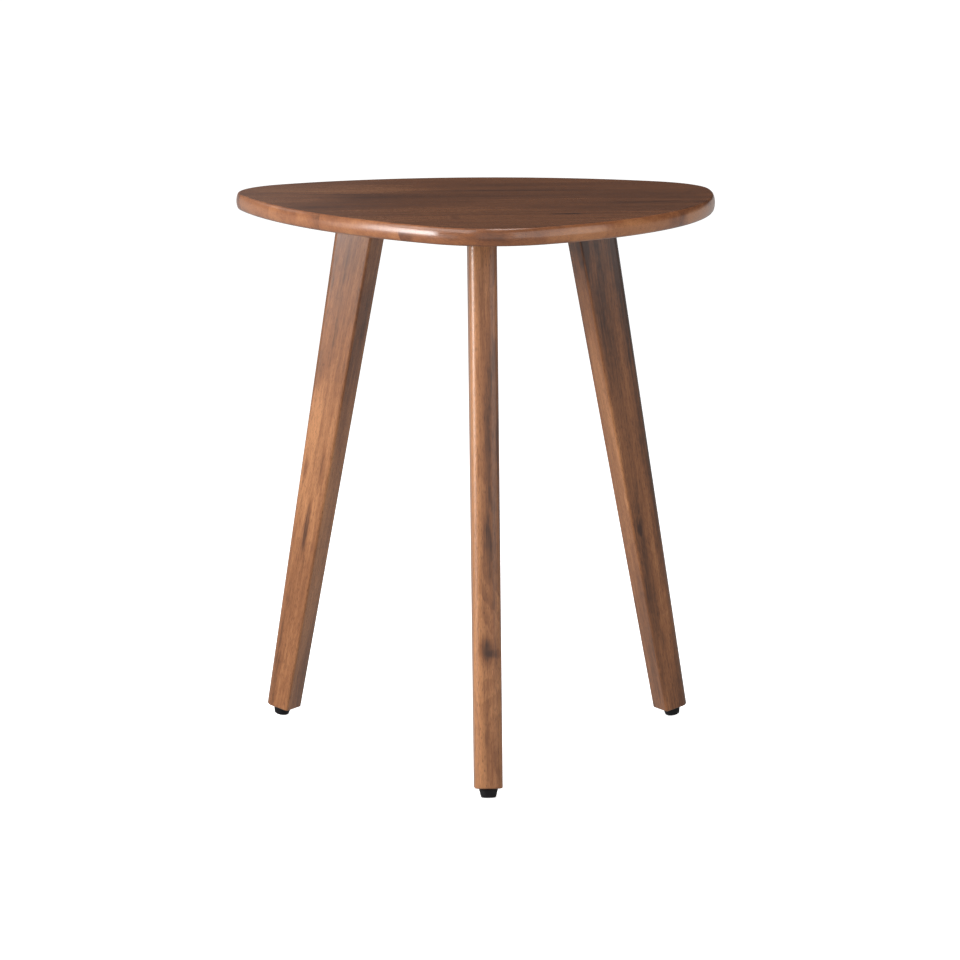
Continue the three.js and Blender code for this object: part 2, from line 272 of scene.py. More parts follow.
def turned(profile, facets=TURNED_FACETS):
    """A solid turned about Z from its profile of (radius, height) points."""
    shell = Shell()
    rings = [shell.level(circle(radius, facets), height) for radius, height in profile]
    shell.bridge(rings)
    shell.cap(rings[0])
    shell.cap(rings[-1])
    return shell


def finished(piece, body, node, material):
    """The piece rides on its body, stands for its CAD node and takes its material."""
    smooth(piece)
    piece.data.materials.append(material)
    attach(piece, body)
    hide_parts(node)
    return piece


# Materials


class Shader:
    """A material whose node formula reads from top to bottom."""

    def __init__(self, name, **settings):
        self.material = bpy.data.materials.new(name)
        self.material.use_nodes = True
        self.tree = self.material.node_tree
        self.tree.nodes.clear()
        self.surface = self.tree.nodes.new("ShaderNodeBsdfPrincipled")
        output = self.tree.nodes.new("ShaderNodeOutputMaterial")
        self.tree.links.new(self.surface.outputs["BSDF"], output.inputs["Surface"])
        for socket, value in settings.items():
            self.surface.inputs[socket.replace("_", " ")].default_value = value

    def feed(self, socket, value):
        if isinstance(value, bpy.types.NodeSocket):
            self.tree.links.new(value, socket)
        else:
            socket.default_value = value

    def math(self, operation, *values):
        node = self.tree.nodes.new("ShaderNodeMath")
        node.operation = operation
        for socket, value in zip(node.inputs, values):
            self.feed(socket, value)
        return node.outputs["Value"]

    def vector(self, operation, *values):
        node = self.tree.nodes.new("ShaderNodeVectorMath")
        node.operation = operation
        for socket, value in zip(node.inputs, values):
            self.feed(socket, value)
        return node.outputs["Value" if operation == "LENGTH" else "Vector"]

    def attribute(self, name):
        node = self.tree.nodes.new("ShaderNodeAttribute")
        node.attribute_name = name
        return node.outputs["Vector"]

    def place(self):
        return self.tree.nodes.new("ShaderNodeTexCoord").outputs["Object"]

    def moved(self, vector, offset, turn):
        node = self.tree.nodes.new("ShaderNodeMapping")
        for socket, value in zip(node.inputs, [vector, offset, turn]):
            self.feed(socket, value)
        return node.outputs["Vector"]

    def noise(self, vector, scale, detail=2.0, roughness=0.5):
        """Noise of so many features per metre along each axis, from 0 to 1 round its middle."""
        node = self.tree.nodes.new("ShaderNodeTexNoise")
        self.feed(node.inputs["Vector"], self.vector("MULTIPLY", vector, scale))
        node.inputs["Scale"].default_value = 1.0
        node.inputs["Detail"].default_value = detail
        node.inputs["Roughness"].default_value = roughness
        return node.outputs["Fac"]

    def spread(self, value, low, high, to_low=0.0, to_high=1.0):
        """Takes the stretch from low to high to another stretch, smoothly, with flat ends."""
        node = self.tree.nodes.new("ShaderNodeMapRange")
        node.interpolation_type = "SMOOTHSTEP"
        for socket, number in zip(node.inputs, [value, low, high, to_low, to_high]):
            self.feed(socket, number)
        return node.outputs["Result"]

    def ramp(self, value, stops, colours):
        node = self.tree.nodes.new("ShaderNodeValToRGB")
        stretches = node.color_ramp.elements
        while len(stretches) < len(stops):
            stretches.new(0.5)
        for stretch, position, colour in zip(stretches, stops, colours):
            stretch.position = position
            stretch.color = (*colour, 1.0)
        self.feed(node.inputs["Fac"], value)
        return node.outputs["Color"]

    def blend(self, factor, first, second):
        node = self.tree.nodes.new("ShaderNodeMix")
        node.data_type = "RGBA"
        self.feed(node.inputs["Factor"], factor)
        self.feed(node.inputs["A"], first)
        self.feed(node.inputs["B"], second)
        return node.outputs["Result"]

    def bump(self, height, strength, distance):
        node = self.tree.nodes.new("ShaderNodeBump")
        node.inputs["Strength"].default_value = strength
        node.inputs["Distance"].default_value = distance
        self.feed(node.inputs["Height"], height)
        self.tree.links.new(node.outputs["Normal"], self.surface.inputs["Normal"])


# The stain from dark to light. The boards took it slightly redder than the legs.
BOARD_STAIN = [(0.066, 0.021, 0.011), (0.33, 0.120, 0.045), (0.56, 0.234, 0.091)]
LEG_STAIN = [(0.07, 0.025, 0.011), (0.33, 0.126, 0.045), (0.56, 0.243, 0.096)]
STAIN_STOPS = [0.04, 0.5, 0.9]

# The lacquer: how blurred its gloss is, how rough the wood under it, and how deep the relief
BOARD_GLOSS_BLUR = 0.18
LEG_GLOSS_BLUR = {"front_leg": 0.31, "right_leg": 0.22, "left_leg": 0.22}
LACQUER_IOR = 1.5
WOOD_SPECULAR = 0.2
WOOD_ROUGHNESS = (0.45, 0.55)
WOOD_RELIEF = 0.12
WOOD_RELIEF_DEPTH = 0.0002
FIBRE_RELIEF = 0.35

# The layers of noise in the wood: how many features a metre each has along the grain, across
# it and in depth, then its detail and its roughness.
PORE_LENGTH = 0.0045
PORE_WIDTH = 0.00032
DRIFT = ((5, 38, 38), 3, 0.5)
FIGURE = ((4, 34, 60), 4, 0.55)
MOTTLE = ((90, 160, 160), 2, 0.5)
STREAKS = ((14, 230, 230), 3, 0.6)
LINES = ((32, 800, 800), 2, 0.5)
FIBRES = ((60, 2400, 2400), 2, 0.5)
DASHES = ((38, 560, 560), 1, 0.5)
PORES = ((1 / PORE_LENGTH, 1 / PORE_WIDTH, 1 / PORE_WIDTH), 0, 0.5)

# How strongly each layer lightens the wood, or darkens it where the number is negative. All
# but the mottle also grow with the piece's streaks.
FIGURE_STRENGTH = 1.25
MOTTLE_STRENGTH = 0.26
STREAK_STRENGTH = 0.34
LINE_STRENGTH = 0.32
FIBRE_STRENGTH = 0.30
DASH_STRENGTH = -0.10
DASH_SHARE = 0.1  # of the surface
PORE_COVER = 0.55  # how much of a pore the darkest stain fills

# Where a soft edge begins and ends: of a noise, of the growth rings, of zones and of knots
NOISE_RANGE = (0.3, 0.7)
DASH_EDGE = (0.60, 0.74)
PORE_EDGE = (0.60, 0.72)
EARLY_WOOD = (0.0, 0.8)
LATE_WOOD = (0.86, 1.0)
ZONE_EDGE = (0.5, 1.4)
KNOT_EDGE = (0.2, 1.6)

RING_SPACING = 0.0042
RING_WANDER = 0.02

# Each piece is cut from its own stretch of an endless log.
LOG_STEP = 1.7
BOARDS = [f"top_board_{i + 1}" for i in range(WHOLE_BOARDS + 2)]
LEGS = [f"{side}_leg" for side in SIDES]
LOG_START = {name: LOG_STEP * (i + 1) for i, name in enumerate(BOARDS + LEGS)}

# How each piece is cut: where it lies from the heart of the log, sideways and in depth, how far
# the log leans along it, how light it is, how strong its streaks are and how strong its rings.
CUTS = {
    "top_board_1": (0.010, 0.055, -0.030, -0.03, 0.50, 0.03),
    "top_board_2": (-0.014, 0.070, 0.022, -0.02, 0.50, 0.04),
    "top_board_3": (0.020, 0.048, -0.045, -0.15, 0.52, 0.05),
    "top_board_4": (-0.022, 0.082, -0.018, -0.16, 0.52, 0.04),
    "top_board_5": (0.012, 0.060, 0.035, -0.11, 0.50, 0.04),
    "top_board_6": (0.016, 0.075, -0.026, -0.05, 0.50, 0.04),
    "front_leg": (0.004, 0.030, 0.020, 0.12, 1.15, 0.16),
    "right_leg": (0.020, 0.046, 0.030, -0.16, 1.00, 0.06),
    "left_leg": (0.030, 0.055, -0.020, 0.03, 1.10, 0.06),
}

# Lighter and darker zones of a piece: the wood's own tone and figure, and on the legs painted shade
# under the top and painted light lower down. Each has its middle and its half sizes along the
# grain, across it and in depth, in the piece's own frame, then how much lighter or darker it is.
TONE_AND_PAINTED_LIGHT_ZONES = {
    "top_board_1": [
        ((-0.060, -0.218, -0.010), (0.050, 0.040, 0.008), -0.02),
        ((-0.088, -0.196, -0.012), (0.010, 0.012, 0.006), -0.22),
        ((-0.008, -0.245, -0.010), (0.022, 0.012, 0.008), -0.12),
        ((0.086, -0.212, -0.010), (0.052, 0.040, 0.008), 0.36),
    ],
    "top_board_2": [
        ((0.075, -0.118, 0.000), (0.015, 0.004, 0.010), -0.34),
        ((0.112, -0.113, 0.000), (0.040, 0.003, 0.010), -0.20),
        ((-0.036, -0.140, 0.000), (0.004, 0.020, 0.010), -0.12),
        ((-0.130, -0.150, -0.010), (0.050, 0.060, 0.008), 0.12),
        ((0.140, -0.160, -0.010), (0.050, 0.065, 0.008), 0.26),
    ],
    "top_board_3": [
        ((-0.070, -0.072, 0.000), (0.110, 0.026, 0.012), 0.18),
        ((0.134, -0.024, 0.000), (0.030, 0.008, 0.010), -0.06),
        ((-0.215, -0.040, -0.010), (0.050, 0.080, 0.009), 0.27),
        ((0.210, -0.040, -0.010), (0.035, 0.065, 0.008), 0.56),
    ],
    "top_board_4": [
        ((-0.060, 0.050, 0.000), (0.120, 0.008, 0.010), -0.16),
        ((0.090, 0.020, 0.000), (0.080, 0.006, 0.010), 0.10),
        ((-0.200, 0.040, -0.006), (0.070, 0.070, 0.012), 0.26),
        ((0.232, 0.040, -0.010), (0.024, 0.070, 0.008), 0.56),
    ],
    "top_board_5": [
        ((0.060, 0.105, 0.000), (0.130, 0.007, 0.010), -0.16),
        ((-0.150, 0.130, 0.000), (0.090, 0.060, 0.010), 0.22),
    ],
    "front_leg": [
        ((0.131, 0.009, 0.016), (0.004, 0.010, 0.010), -0.16),
        # painted light: the lower part of the front leg is lighter, as if lit from the floor below
        ((0.060, 0.000, 0.016), (0.160, 0.020, 0.020), 0.16),
        # partly the wood's own golden tone, partly painted light on the left round, which faces the
        # key light
        ((0.230, -0.0095, 0.012), (0.290, 0.0075, 0.014), 0.27),
        ((0.330, 0.002, 0.018), (0.110, 0.0035, 0.008), -0.12),
        ((0.370, 0.008, 0.020), (0.080, 0.007, 0.010), -0.24),
        ((0.470, -0.002, 0.023), (0.050, 0.0030, 0.006), -0.14),
    ],
    "right_leg": [
        # painted shadow of the top: the upper end of the right leg is darker
        ((0.500, -0.010, 0.000), (0.130, 0.020, 0.040), -0.16),
        # painted shadow of the top on the upper inner face
        ((0.530, 0.000, -0.020), (0.060, 0.020, 0.006), -0.28),
        # painted light: the inner face is lighter below the top's painted shadow
        ((0.270, 0.000, -0.020), (0.170, 0.020, 0.005), 0.26),
        ((0.350, -0.0137, 0.016), (0.250, 0.010, 0.010), -0.14),
        ((0.234, -0.010, -0.019), (0.012, 0.0025, 0.004), 0.30),
        ((0.170, -0.0137, 0.003), (0.070, 0.010, 0.012), 0.08),
    ],
    "left_leg": [
        # painted shadow of the top: the upper end of the left leg is darker
        ((0.412, 0.0137, 0.000), (0.090, 0.030, 0.050), -0.25),
        ((0.280, 0.0137, 0.003), (0.080, 0.020, 0.030), 0.18),
        ((0.150, 0.0137, 0.000), (0.100, 0.020, 0.030), 0.12),
        ((0.202, 0.0137, -0.0022), (0.030, 0.006, 0.0024), -0.40),
        ((0.205, 0.0137, -0.0085), (0.040, 0.006, 0.0030), 0.16),
        ((0.262, 0.0137, 0.0100), (0.014, 0.006, 0.0030), -0.28),
        ((0.270, 0.0137, -0.0105), (0.020, 0.006, 0.0024), -0.24),
        ((0.330, 0.0137, 0.0060), (0.040, 0.006, 0.0060), 0.22),
        # painted light from below: the lower inner face is lighter
        ((0.060, 0.0000, -0.020), (0.180, 0.020, 0.004), 0.40),
        # painted shadow of the top on the upper inner face
        ((0.480, 0.0000, -0.020), (0.120, 0.020, 0.004), -0.14),
    ],
}

# Knots: the middle in the piece's own frame, the half sizes and how dark the knot is. The
# growth rings bulge round a knot.
KNOTS = {
    "front_leg": [((0.134, -0.0012, 0.017), (0.0125, 0.0082, 0.013), 0.50)],
    "right_leg": [((0.201, -0.0137, -0.010), (0.006, 0.006, 0.003), 0.30)],
}
KNOT_BULGE = 0.012
KNOT_REACH = 7.0  # in half sizes of the knot
KNOT_RAGGED = 0.6


def wood(name, stain, gloss_blur):
    """Stained wood under satin lacquer: growth rings, streaks, fibres, pores, knots, and zones of
    tone and of painted light and shade.
    """
    aside, depth, lean, tone, streaky, ringed = CUTS[name]
    shader = Shader(
        f"stained_wood_{name}",
        Specular_IOR_Level=WOOD_SPECULAR,
        Coat_Weight=1.0,
        Coat_Roughness=gloss_blur,
        Coat_IOR=LACQUER_IOR,
    )
    place = shader.attribute("grain")
    log = shader.moved(place, (LOG_START[name], aside, depth), (0, lean, 0))
    drift = shader.noise(log, *DRIFT)

    def ellipsoid(centre, sizes, ragged=1.0):
        """How far off a point is, in half sizes, with an uneven edge."""
        offset = shader.vector("SUBTRACT", place, centre)
        offset = shader.vector("DIVIDE", offset, sizes)
        uneven = shader.math("MULTIPLY", shader.math("SUBTRACT", drift, 0.5), ragged)
        return shader.math("ADD", shader.vector("LENGTH", offset), uneven)

    across = shader.vector("MULTIPLY", log, (0, 1, 1))
    wander = shader.math("MULTIPLY", shader.math("SUBTRACT", drift, 0.5), RING_WANDER)
    reach = shader.math("ADD", shader.vector("LENGTH", across), wander)
    knots = [
        (ellipsoid(centre, sizes, KNOT_RAGGED), dark)
        for centre, sizes, dark in KNOTS.get(name, [])
    ]
    for off, _ in knots:
        reach = shader.math("ADD", reach, shader.spread(off, 0.0, KNOT_REACH, KNOT_BULGE, 0.0))
    turns = shader.math("FRACT", shader.math("DIVIDE", reach, RING_SPACING))
    early = shader.spread(turns, *EARLY_WOOD)
    late = shader.spread(turns, *LATE_WOOD)
    rings = shader.math("SUBTRACT", early, late)

    figure = shader.noise(log, *FIGURE)
    mottle = shader.noise(log, *MOTTLE)
    streaks = shader.noise(log, *STREAKS)
    lines = shader.noise(log, *LINES)
    fibres = shader.noise(log, *FIBRES)
    dashes = shader.spread(shader.noise(log, *DASHES), *DASH_EDGE)

    shade = tone + 0.5
    parts = [
        (figure, 0.5, FIGURE_STRENGTH * streaky),
        (rings, 0.5, -ringed),
        (mottle, 0.5, MOTTLE_STRENGTH),
        (streaks, 0.5, STREAK_STRENGTH * streaky),
        (lines, 0.5, LINE_STRENGTH * streaky),
        (fibres, 0.5, FIBRE_STRENGTH * streaky),
        (dashes, DASH_SHARE, DASH_STRENGTH * streaky),
    ]
    for part, middle, strength in parts:
        shade = shader.math("MULTIPLY_ADD", shader.math("SUBTRACT", part, middle), strength, shade)
    # Zones of the wood's own tone, and on the legs zones of painted shade and painted light
    for centre, sizes, change in TONE_AND_PAINTED_LIGHT_ZONES.get(name, []):
        off = ellipsoid(centre, sizes)
        shade = shader.math("ADD", shade, shader.spread(off, *ZONE_EDGE, change, 0.0))
    for off, dark in knots:
        shade = shader.math("SUBTRACT", shade, shader.spread(off, *KNOT_EDGE, dark, 0.0))
    colour = shader.ramp(shade, STAIN_STOPS, stain)

    pores = shader.spread(shader.noise(log, *PORES), *PORE_EDGE)
    cover = shader.math("MULTIPLY", pores, PORE_COVER)
    colour = shader.blend(cover, colour, (*stain[0], 1))
    roughness = shader.spread(lines, *NOISE_RANGE, *WOOD_ROUGHNESS)

    shader.feed(shader.surface.inputs["Base Color"], colour)
    shader.feed(shader.surface.inputs["Roughness"], roughness)
    sunk = shader.math("MULTIPLY", pores, -1.0)
    relief = shader.math("MULTIPLY_ADD", fibres, FIBRE_RELIEF, sunk)
    shader.bump(relief, WOOD_RELIEF, WOOD_RELIEF_DEPTH)
    return shader.material


# Plastic and metal: how many clouds and grains a metre they have, and how deep the grains are
PLASTIC_BLACKS = [(0.006, 0.006, 0.007), (0.013, 0.012, 0.014)]
PLASTIC_SPECULAR = 0.25
PLASTIC_FLOW = (120, 120, 300)
PLASTIC_GRIT = 3500
PLASTIC_ROUGHNESS = (0.36, 0.5)
PLASTIC_RELIEF = 0.15
METAL_CLOUDS = 180
METAL_RELIEF = 0.1
GRIT_DEPTH = 0.0001


def plastic():
    """Black moulded plastic with a fine spark-eroded surface and faint flow marks."""
    shader = Shader("black_plastic", Specular_IOR_Level=PLASTIC_SPECULAR)
    place = shader.place()
    flow = shader.noise(place, PLASTIC_FLOW, detail=3)
    colour = shader.ramp(flow, NOISE_RANGE, PLASTIC_BLACKS)
    shader.feed(shader.surface.inputs["Base Color"], colour)
    grit = shader.noise(place, [PLASTIC_GRIT] * 3, detail=2)
    roughness = shader.spread(grit, *NOISE_RANGE, *PLASTIC_ROUGHNESS)
    shader.feed(shader.surface.inputs["Roughness"], roughness)
    shader.bump(grit, PLASTIC_RELIEF, GRIT_DEPTH)
    return shader.material


def metal(name, dark, light, roughness, grit_scale, metallic=1.0):
    """Plated or coated metal: cloudy in colour, with fine grit in its gloss and relief."""
    shader = Shader(name, Metallic=metallic)
    place = shader.place()
    cloud = shader.noise(place, [METAL_CLOUDS] * 3, detail=4)
    colour = shader.ramp(cloud, NOISE_RANGE, [dark, light])
    shader.feed(shader.surface.inputs["Base Color"], colour)
    grit = shader.noise(place, [grit_scale] * 3, detail=3)
    rough = shader.spread(grit, *NOISE_RANGE, *roughness)
    shader.feed(shader.surface.inputs["Roughness"], rough)
    shader.bump(grit, METAL_RELIEF, GRIT_DEPTH)
    return shader.material


WOOD = {name: wood(name, BOARD_STAIN, BOARD_GLOSS_BLUR) for name in BOARDS}
WOOD |= {name: wood(name, LEG_STAIN, LEG_GLOSS_BLUR[name]) for name in LEGS}
PLASTIC = plastic()
PLATE_STEEL = metal(
    "plate_steel",
    dark=(0.014, 0.014, 0.015),
    light=(0.028, 0.028, 0.03),
    roughness=(0.4, 0.58),
    grit_scale=2200,
    metallic=0.0,
)
ZINC = metal(
    "zinc_steel",
    dark=(0.48, 0.49, 0.52),
    light=(0.62, 0.63, 0.65),
    roughness=(0.24, 0.4),
    grit_scale=3000,
)
INSERT_STEEL = metal(
    "insert_steel",
    dark=(0.40, 0.33, 0.19),
    light=(0.52, 0.44, 0.27),
    roughness=(0.28, 0.42),
    grit_scale=3000,
)


# Top


def arris_section(radius):
    """From the bowed side to the flat face: how far in, and how far from the middle, points lie."""
    half = TOP_THICKNESS / 2
    start = math.asin((half - radius) / (RIM_BOW - radius))
    middle_inset = RIM_BOW - (RIM_BOW - radius) * math.cos(start)
    section = []
    for i in range(ARRIS_FACETS + 1):
        angle = start + (QUARTER - start) * i / ARRIS_FACETS
        inset = middle_inset - radius * math.cos(angle)
        section.append((inset, half - radius * (1 - math.sin(angle))))
    return [*bow_section(start), *section]


def bow_section(end):
    """The bowed side from the middle of the thickness up to where the arris begins."""
    angles = [end * i / BOW_FACETS for i in range(1, BOW_FACETS)]
    return [(RIM_BOW * (1 - math.cos(a)), RIM_BOW * math.sin(a)) for a in angles]


def top_slab():
    """The whole top, with a thin flat ring beside each arris so that its faces stay flat."""
    middle = TABLE_HEIGHT - TOP_THICKNESS / 2
    rings = [(0.0, middle)]
    for radius, up in [(LOWER_ARRIS, -1), (UPPER_ARRIS, 1)]:
        section = arris_section(radius)
        inset, height = section[-1]
        section.append((inset + radius * FLAT_RING_SHARE, height))
        stretch = [(inset, middle + up * height) for inset, height in section]
        rings = [*rings, *stretch] if up > 0 else [*reversed(stretch), *rings]
    shell = Shell()
    levels = [shell.level(top_outline(inset + TRIM), height) for inset, height in rings]
    shell.bridge(levels)
    shell.cap(levels[0])
    shell.cap(levels[-1])
    return shell


def top_middle():
    outline = top_outline(TRIM)
    xs = [point.x for point in outline]
    ys = [point.y for point in outline]
    return Vector(((min(xs) + max(xs)) / 2, (min(ys) + max(ys)) / 2, 0))


def sawn(slab, front, back, name):
    """The stretch of the slab between two joints."""
    board = bmesh.new()
    board.from_mesh(slab)
    for y, outer in [(front, False), (back, True)]:
        everything = board.verts[:] + board.edges[:] + board.faces[:]
        bmesh.ops.bisect_plane(
            board,
            geom=everything,
            plane_co=(0, y, 0),
            plane_no=(0, 1, 0),
            clear_outer=outer,
            clear_inner=not outer,
        )
        open_edges = [edge for edge in board.edges if edge.is_boundary]
        bmesh.ops.holes_fill(board, edges=open_edges, sides=0)
    bmesh.ops.recalc_face_normals(board, faces=board.faces)
    mesh = bpy.data.meshes.new(name)
    board.to_mesh(mesh)
    board.free()
    return show(name, mesh)


def drilled(piece, cutters):
    """Cuts the cutters out of the piece and removes them."""
    for cutter in cutters:
        cutting = piece.modifiers.new("hole", "BOOLEAN")
        cutting.operation = "DIFFERENCE"
        cutting.solver = "EXACT"
        cutting.object = cutter
    shown = piece.evaluated_get(bpy.context.evaluated_depsgraph_get())
    mesh = bpy.data.meshes.new_from_object(shown)
    piece.modifiers.clear()
    piece.data = mesh
    for cutter in cutters:
        bpy.data.objects.remove(cutter)


def grained(piece, grain_of):
    """Writes each point's place along the grain, across it and in depth into the mesh."""
    grain = piece.data.attributes.new("grain", "FLOAT_VECTOR", "POINT")
    for i, vertex in enumerate(piece.data.vertices):
        grain.data[i].vector = grain_of(vertex.co)


def board_grain(point):
    return point.x, point.y, point.z - TABLE_HEIGHT


def make_top():
    slab = top_slab().build("slab", Matrix.Translation(-top_middle()))
    lowest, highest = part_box("top_board_1")[0].y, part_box(f"top_board_{WHOLE_BOARDS + 2}")[1].y
    width = (highest - lowest) / (FRONT_BOARD_SHARE + WHOLE_BOARDS + BACK_BOARD_SHARE)
    first = lowest + width * FRONT_BOARD_SHARE
    joints = [first + width * i for i in range(WHOLE_BOARDS + 1)]
    edges = [lowest - OVERRUN, *joints, highest + OVERRUN]
    for i in range(WHOLE_BOARDS + 2):
        name = f"top_board_{i + 1}"
        front, back = edges[i] + GLUE_LINE / 2, edges[i + 1] - GLUE_LINE / 2
        board = sawn(slab.data, front, back, f"{name}_looks")
        holes = insert_holes(front, back)
        if holes:
            drilled(board, holes)
        grained(board, board_grain)
        finished(board, "frame", name, WOOD[name])
    bpy.data.objects.remove(slab)


# Legs


def leg_frame(side):
    """The leg's own frame, from its levelling joint.

    Its origin is at the leg's lower end, +Z runs up the leg's axis and +X out.
    """
    joint = next(j for j in frame["joints"] if j["name"] == f"{side}_foot_turn")
    axis = -Vector(joint["axis"]).normalized()
    across = UP.cross(-axis).normalized()
    out = across.cross(axis)
    turn = Matrix((out, across, axis)).transposed().to_4x4()
    return Matrix.Translation(Vector(joint["pos_m"])) @ turn


def level_frame(side):
    """The upright frame of the leg's plate, in the middle of the leg's upper end, with +X out."""
    leg = leg_frame(side)
    axis = leg.to_3x3().col[2]
    top = leg.translation + axis * ((LEG_TOP - leg.translation.z) / axis.z)
    across = leg.to_3x3().col[1]
    out = across.cross(UP)
    turn = Matrix((out, across, UP)).transposed().to_4x4()
    return Matrix.Translation(top) @ turn


def bolt_places():
    halves = [-0.5, 0.5]
    return [(BOLT_ALONG * x, BOLT_ACROSS * y) for x in halves for y in halves]


def screw_places():
    return [(SCREW_SPACING * half, 0.0) for half in [-0.5, 0.5]]


def insert_holes(front, back):
    """Cutters for the holes of the top inserts whose middle lies between two joints."""
    cutters = []
    depth = PLATE_THICKNESS + TOP_INSERT_LENGTH + SEAT * 2
    for side in SIDES:
        for x, y in bolt_places():
            matrix = level_frame(side) @ Matrix.Translation((x, y, 0))
            if front < matrix.translation.y < back:
                radius = TOP_INSERT_RADIUS + RUNNING
                hole = turned([(radius, PLATE_THICKNESS - OVERRUN), (radius, depth)], HOLE_FACETS)
                cutters.append(hole.build("cutter", matrix))
    return cutters


def leg_section(width, inset=0.0):
    return rounded_rectangle(
        width / 2 - inset,
        LEG_THICKNESS / 2 - inset,
        LEG_OUTER_ROUND - inset,
        LEG_INNER_ROUND - inset,
    )


def make_leg(side):
    own = leg_frame(side)
    level = level_frame(side)
    length = (level.translation - own.translation).length
    shell = Shell()

    # The outside, from the eased lower end to the level upper end
    rings = []
    for inset, rise in round_steps(LEG_END_ROUND, ROUND_FACETS // 2):
        width = LEG_FOOT_WIDTH + (LEG_TOP_WIDTH - LEG_FOOT_WIDTH) * rise / length
        outline = leg_section(width, inset)
        rings.append(shell.ring([own @ Vector((p.x, p.y, rise)) for p in outline]))
    upper = []
    for point, low in zip(leg_section(LEG_TOP_WIDTH), rings[-1]):
        foot = shell.points[low]
        end = own @ Vector((point.x, point.y, length))
        upper.append(foot.lerp(end, (LEG_TOP - foot.z) / (end.z - foot.z)))
    rings.append(shell.ring(upper))
    shell.bridge(rings)

    # The stepped hole for the foot's insert and stud
    mouth = FOOT_INSERT_RADIUS + RUNNING
    narrow = STUD_RADIUS + BOLT_HOLE
    step = FOOT_INSERT_LENGTH + SEAT * 2
    profile = [(mouth, 0), (mouth, step), (narrow, step), (narrow, STUD_LENGTH + BORE)]
    bores = []
    for radius, height in profile:
        outline = circle(radius)
        bores.append(shell.ring([own @ Vector((p.x, p.y, height)) for p in outline]))
    shell.bridge(bores)
    shell.cap(bores[-1])
    shell.cap(rings[0], [bores[0]])

    # The holes for the plate's screws
    mouths = []
    for place in screw_places():
        outline = circle(SCREW_RADIUS + RUNNING, centre=place)
        depth = PLATE_THICKNESS - SCREW_LENGTH - BORE
        walls = [
            shell.ring([level @ Vector((p.x, p.y, height)) for p in outline])
            for height in [0.0, depth]
        ]
        shell.bridge(walls)
        shell.cap(walls[1])
        mouths.append(walls[0])
    shell.cap(rings[-1], mouths)

    leg = shell.build(f"{side}_leg_looks")
    inverse = own.inverted()

    def leg_grain(point):
        inside = inverse @ point
        return inside.z, inside.y, inside.x

    grained(leg, leg_grain)
    finished(leg, "frame", f"{side}_leg", WOOD[f"{side}_leg"])


# Plates, bolts and levelling feet


def make_plate(side):
    shell = Shell()
    half_length = BOLT_ALONG / 2 + PLATE_MARGIN
    half_width = BOLT_ACROSS / 2 + PLATE_MARGIN

    def outline(inset):
        corner = PLATE_CORNER - inset
        return rounded_rectangle(half_length - inset, half_width - inset, corner, corner)

    steps = round_steps(PLATE_EDGE_ROUND, ROUND_FACETS // 4)
    rings = [shell.level(outline(inset), rise) for inset, rise in steps]
    for inset, drop in reversed(steps):
        rings.append(shell.level(outline(inset), PLATE_THICKNESS - drop))
    shell.bridge(rings)

    shank = SCREW_RADIUS + RUNNING
    mouth = SCREW_HEAD_RADIUS + RUNNING
    mouth_height = PLATE_THICKNESS - SEAT
    hole = BOLT_RADIUS + BOLT_HOLE
    straight = [(hole, 0.0), (hole, PLATE_THICKNESS)]
    countersunk = [
        (shank, 0.0),
        (shank, mouth_height - SCREW_HEAD_HEIGHT),
        (mouth, mouth_height),
        (mouth, PLATE_THICKNESS),
    ]
    walls = []
    for places, profile in [(bolt_places(), straight), (screw_places(), countersunk)]:
        for place in places:
            wall = [shell.level(circle(radius, centre=place), z) for radius, z in profile]
            shell.bridge(wall)
            walls.append(wall)
    shell.cap(rings[0], [wall[0] for wall in walls])
    shell.cap(rings[-1], [wall[-1] for wall in walls])
    plate = shell.build(f"{side}_leg_plate_looks", level_frame(side))
    finished(plate, "frame", f"{side}_leg_plate", PLATE_STEEL)


def hexagon(size, facets=TURNED_FACETS):
    """A hexagon by its width across flats, with as many points as the rings beside it."""
    outline = []
    for i in range(facets):
        angle = FULL * i / facets
        off_flat = angle % (FULL / 6) - FULL / 12
        outline.append(polar(size / 2 / math.cos(off_flat), angle))
    return outline


def make_bolt(side, number, place):
    shell = Shell()
    profile = [(BOLT_RADIUS - STUD_CHAMFER, BOLT_LENGTH), (BOLT_RADIUS, BOLT_LENGTH - STUD_CHAMFER)]
    profile.append((BOLT_RADIUS, 0.0))
    for i in reversed(range(ARRIS_FACETS + 1)):
        angle = QUARTER * i / ARRIS_FACETS
        swell = (BOLT_HEAD_RADIUS - BOLT_HEAD_FLAT_RADIUS) * math.sin(angle)
        profile.append((BOLT_HEAD_FLAT_RADIUS + swell, -BOLT_HEAD_HEIGHT * math.cos(angle)))
    rings = [shell.level(circle(radius, TURNED_FACETS), height) for radius, height in profile]
    socket = hexagon(BOLT_SOCKET_SIZE)
    rings.append(shell.level(socket, -BOLT_HEAD_HEIGHT))
    rings.append(shell.level(socket, BOLT_SOCKET_DEPTH - BOLT_HEAD_HEIGHT))
    shell.bridge(rings)
    shell.cap(rings[0])
    shell.cap(rings[-1])
    name = f"{side}_plate_bolt_{number}"
    matrix = level_frame(side) @ Matrix.Translation((*place, 0.0))
    bolt = shell.build(f"{name}_looks", matrix)
    finished(bolt, "frame", name, ZINC)


